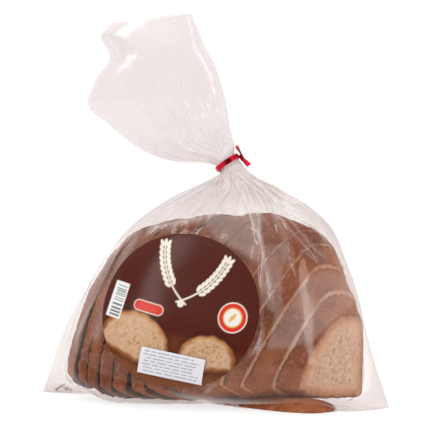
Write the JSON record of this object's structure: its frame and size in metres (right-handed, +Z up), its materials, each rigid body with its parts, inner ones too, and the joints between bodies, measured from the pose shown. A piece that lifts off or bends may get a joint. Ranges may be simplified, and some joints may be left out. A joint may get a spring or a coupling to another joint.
{
  "type": "sliced country loaf in a tied clear bag",
  "caption": "Sliced half of a round country loaf standing in a clear plastic bag, gathered and tied at the neck, with a round label on the front.",
  "frame": {"origin": "on the floor, midway between the two bottom corners of the bag", "axes": "+Z up; -Y is the front with the label; +X is the right-hand side as seen from the front, where the cut end of the loaf shows; the tail leans towards -X"},
  "size_m": [0.225, 0.1098, 0.2481],
  "materials": {
    "bag_film": "clear thin film, slightly milky, creased",
    "label_print": "glossy printed label, dark brown with a warm picture band",
    "sticker_paper": "white paper sticker with fine grey bars",
    "tie_foil": "shiny red metallic foil on a wire core",
    "bread_crust": "matt brown bread crust, finely speckled",
    "bread_crumb": "matt pale beige bread crumb with small pores"
  },
  "bodies": {
    "root": {"bag": "bag_film", "label": "label_print", "sticker": "sticker_paper", "tie": "tie_foil"}
  },
  "joints": []
}
